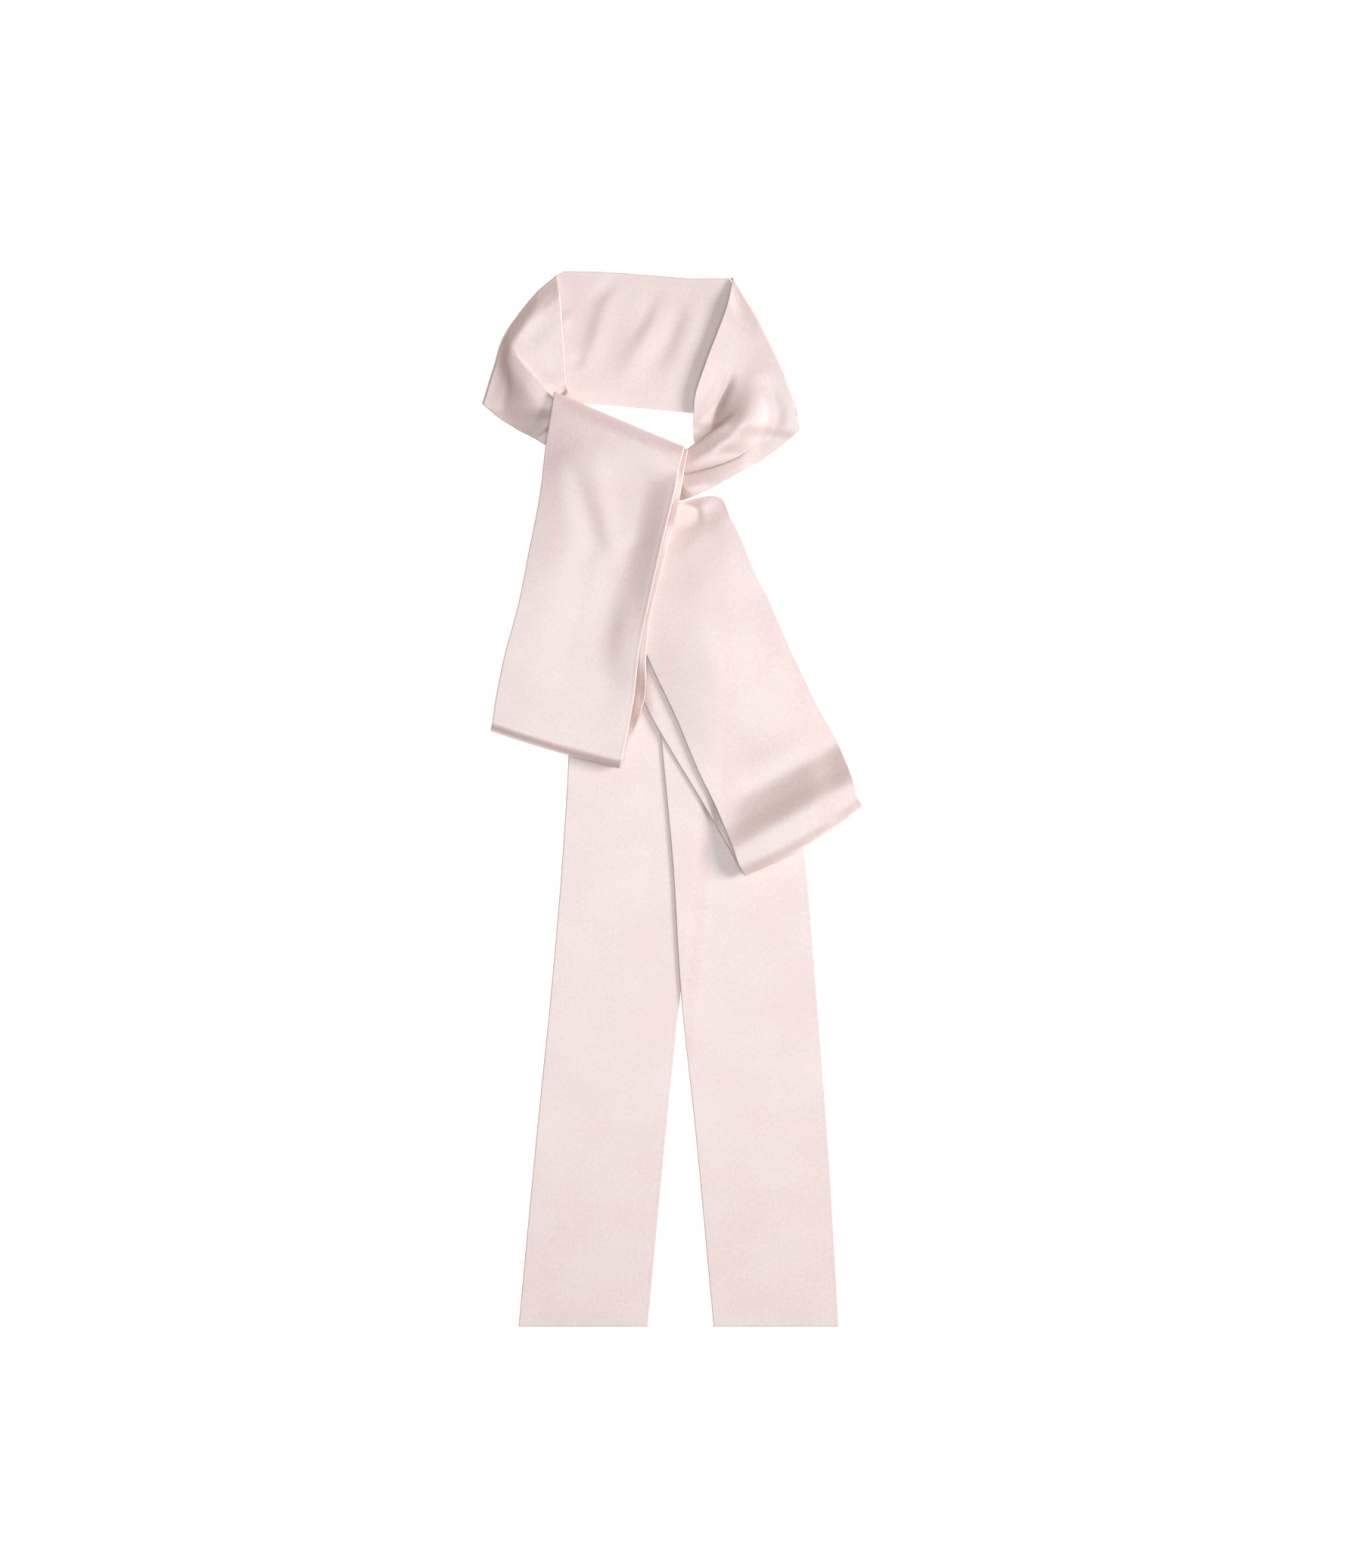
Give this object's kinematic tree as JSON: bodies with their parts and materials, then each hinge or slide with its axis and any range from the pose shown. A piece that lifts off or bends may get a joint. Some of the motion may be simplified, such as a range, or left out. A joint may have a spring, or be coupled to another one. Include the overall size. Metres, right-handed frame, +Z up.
{
  "type": "satin neck scarf",
  "caption": "Long narrow doubled-satin scarf wound once round the neck and tied in a loose bow, laid flat with its tails hanging down.",
  "frame": {"origin": "middle of the laid-out scarf as seen from above, on the surface it lies on", "axes": "+Y from the tails' ends toward the back of the neck, +X to the right of the bow as seen from above, +Z up off the surface"},
  "size_m": [0.2098, 0.5814, 0.0125],
  "materials": {
    "satin": "soft satin sheen, pale blush, fine weft grain",
    "satin_shaded": "the same satin where it lies in the folds and shows its inner side"
  },
  "bodies": {
    "root": {"neck_back": "satin_shaded", "neck_left": "satin", "neck_right": "satin", "tail_left": "satin", "tail_right": "satin", "loop_right_under": "satin_shaded", "loop_right_front": "satin", "loop_left_under": "satin_shaded", "loop_left_front": "satin", "knot_core": "satin_shaded"}
  },
  "joints": []
}
